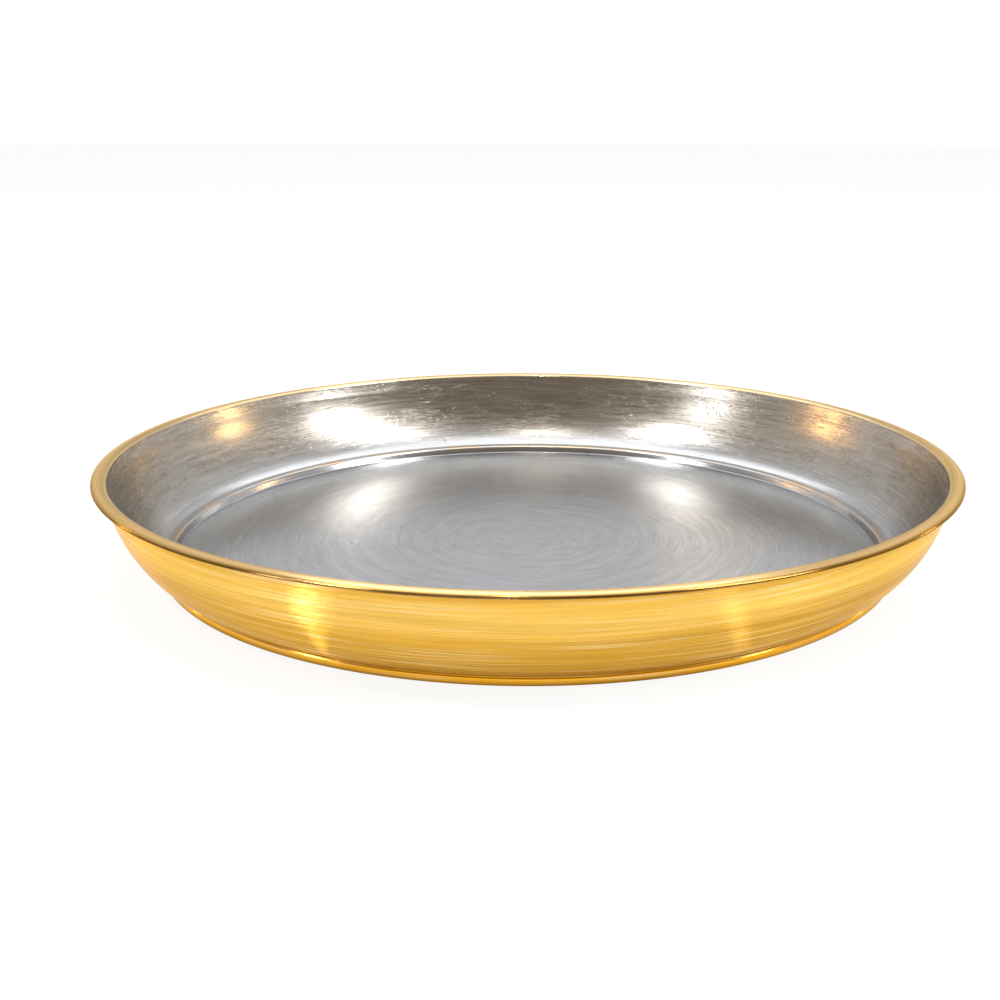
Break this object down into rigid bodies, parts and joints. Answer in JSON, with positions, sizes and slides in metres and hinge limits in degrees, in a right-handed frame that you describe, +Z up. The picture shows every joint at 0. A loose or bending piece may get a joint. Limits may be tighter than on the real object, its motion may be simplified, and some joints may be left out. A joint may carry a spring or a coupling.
{
  "type": "thali plate",
  "caption": "Round shallow brass thali plate with a low foot, a curved wall, a turned-out lip and a tin lining inside, for serving food.",
  "frame": {"origin": "centre of the standing face, on the surface that the plate stands on", "axes": "+Z up along the plate's axis; X and Y lie in the standing face, and the plate is the same all the way round"},
  "size_m": [0.22, 0.22, 0.025],
  "materials": {
    "brass": "lathe-brushed, with fine streaks round the wall",
    "tin": "hand-wiped tin, bright and slightly scratched"
  },
  "bodies": {
    "root": {"brass_body": "brass", "tin_lining": "tin"}
  },
  "joints": []
}
